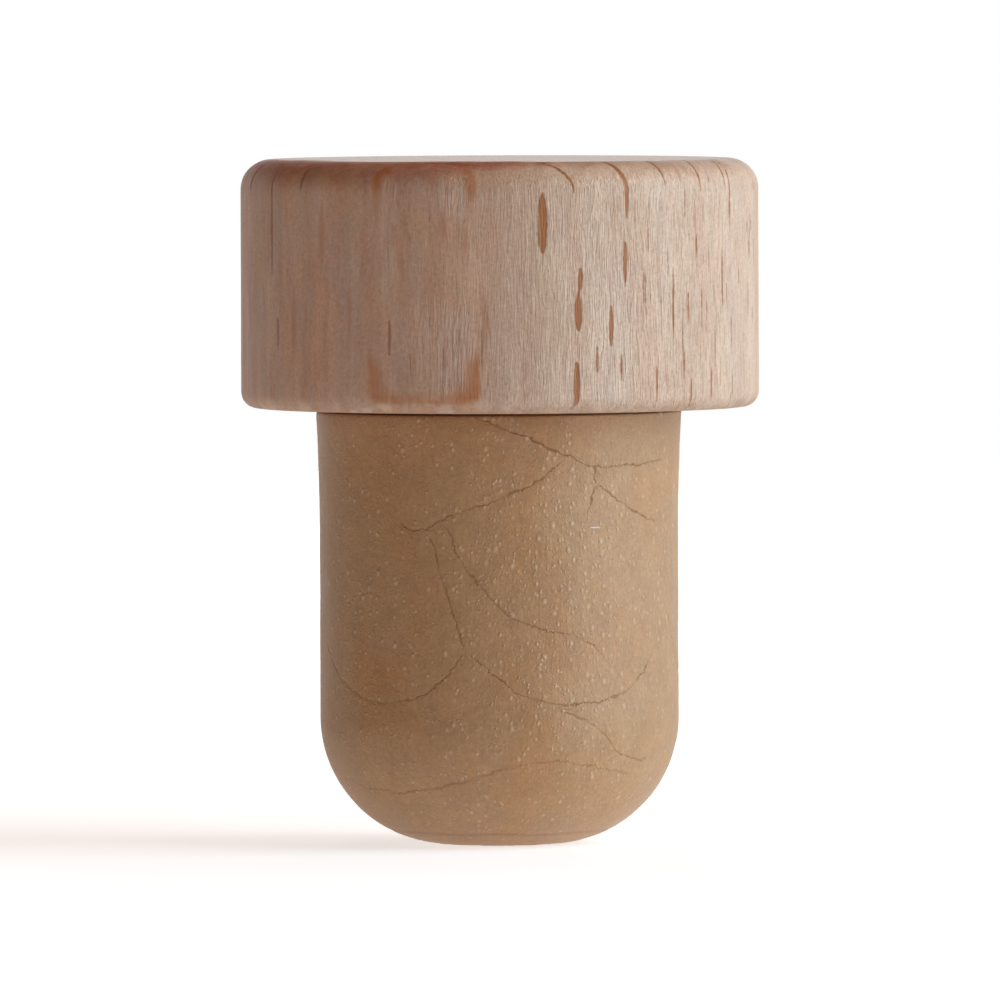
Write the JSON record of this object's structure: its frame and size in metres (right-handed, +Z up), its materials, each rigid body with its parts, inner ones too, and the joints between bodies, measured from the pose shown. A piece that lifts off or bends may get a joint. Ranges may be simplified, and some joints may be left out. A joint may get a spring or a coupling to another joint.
{
  "type": "bottle stopper",
  "caption": "Bar-top bottle stopper: a short turned wooden head glued on a round-ended synthetic cork shank.",
  "frame": {"origin": "centre of the flat left in the middle of the shank's rounded foot, on the stopper's axis", "axes": "+Z up along the stopper's axis, from the foot to the top of the wooden head; the pictured side faces -Y"},
  "size_m": [0.028, 0.028, 0.037],
  "materials": {
    "beech": "bare turned beech, lightly sanded, with a brown water stain",
    "synthetic_cork": "matte foamed thermoplastic with flow lines",
    "glue": "dull set wood glue"
  },
  "bodies": {
    "root": {"wooden_head": "beech", "cork_shank": "synthetic_cork", "glue_fill": "glue"}
  },
  "joints": []
}
